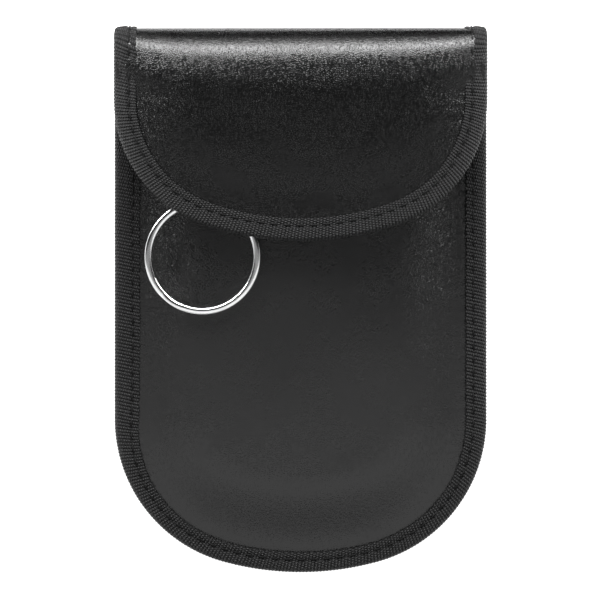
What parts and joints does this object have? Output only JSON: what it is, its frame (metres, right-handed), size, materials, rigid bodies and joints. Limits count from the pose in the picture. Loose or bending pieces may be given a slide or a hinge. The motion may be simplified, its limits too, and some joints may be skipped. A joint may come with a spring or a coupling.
{
  "type": "signal-blocking key pouch",
  "caption": "Padded leather-look key pouch lined with shielding cloth, with bound edges, a fold-over flap closed by hook and loop, and a split ring on a tab.",
  "frame": {"origin": "centre of the pouch's back face, on the surface that it lies on with the flap closed", "axes": "+X to the right seen from the front, +Y from the rounded bottom towards the fold, +Z out of the front"},
  "size_m": [0.0956, 0.14, 0.0187],
  "materials": {
    "leather": "fine pebble grain, satin",
    "padding": "soft foam",
    "shield_cloth": "woven metallised cloth",
    "binding_tape": "ribbed woven tape",
    "thread": "twisted sewing thread",
    "hook_and_loop": "hooks and brushed loops",
    "polished_steel": "polished"
  },
  "bodies": {
    "pouch": {"back_leather": "leather", "back_padding": "padding", "back_shield_outer": "shield_cloth", "back_shield_inner": "shield_cloth", "front_shield_inner": "shield_cloth", "front_shield_outer": "shield_cloth", "front_padding": "padding", "front_leather": "leather", "body_binding": "binding_tape", "mouth_binding": "binding_tape", "body_stitching": "thread", "mouth_stitching": "thread", "loop_patch": "hook_and_loop", "loop_patch_stitching": "thread", "ring_tab": "binding_tape", "ring_tab_stitching": "thread"},
    "fold": {"fold_leather": "leather", "fold_padding": "padding", "fold_shield_outer": "shield_cloth", "fold_shield_inner": "shield_cloth", "fold_binding": "binding_tape"},
    "flap": {"flap_leather": "leather", "flap_padding": "padding", "flap_shield_outer": "shield_cloth", "flap_shield_inner": "shield_cloth", "flap_binding": "binding_tape", "flap_stitching": "thread", "hook_patch": "hook_and_loop", "hook_patch_stitching": "thread"},
    "ring": {"split_ring": "polished_steel"}
  },
  "joints": [
    {"name": "fold_lower", "type": "hinge", "parent": "pouch", "child": "fold", "pos_m": [0, 0.06916, 0.00084], "axis": [-1, 0, 0], "range_deg": [0, 85]},
    {"name": "fold_upper", "type": "hinge", "parent": "fold", "child": "flap", "pos_m": [0, 0.0684, 0.01665], "axis": [-1, 0, 0], "range_deg": [0, 85]},
    {"name": "ring_spin", "type": "hinge", "parent": "pouch", "child": "ring", "pos_m": [-0.0251, 0.0111, 0.01263], "axis": [0, 0, 1], "continuous": true}
  ]
}
